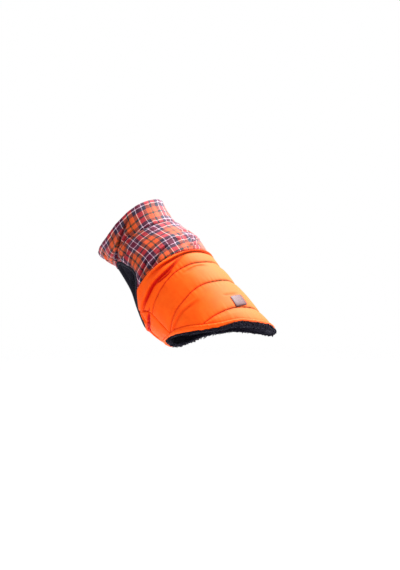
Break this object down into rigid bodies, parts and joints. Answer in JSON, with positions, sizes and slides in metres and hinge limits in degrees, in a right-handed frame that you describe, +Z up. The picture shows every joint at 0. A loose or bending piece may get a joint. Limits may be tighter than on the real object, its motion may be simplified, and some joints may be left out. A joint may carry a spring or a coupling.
{
  "type": "dog vest",
  "caption": "Pull-on winter vest for a dog, worn and hollow: quilted back, plaid yoke and stand-up collar, pile lining past the hem, bound armholes and a bare leather patch.",
  "frame": {"origin": "on the lining's inner face at the centre back, over the wearer's withers", "axes": "+X to the wearer's left, -Y the way the wearer faces, +Z up; the back line slants 41 degrees up to the neck"},
  "size_m": [0.213, 0.4092, 0.3121],
  "materials": {
    "plaid_flannel": "brushed woven check, matt",
    "orange_shell": "plain fine weave, slight sheen",
    "black_pile": "curly pile and matt binding",
    "brown_leather": "smooth, satin"
  },
  "bodies": {
    "root": {"back_panel": "orange_shell", "belly_panel": "orange_shell", "hem_band": "orange_shell", "yoke": "plaid_flannel", "chest_panel": "plaid_flannel", "collar": "plaid_flannel", "lining_back": "black_pile", "lining_belly": "black_pile", "lining_collar": "black_pile", "armhole_binding_left": "black_pile", "armhole_binding_right": "black_pile", "label": "brown_leather"}
  },
  "joints": []
}
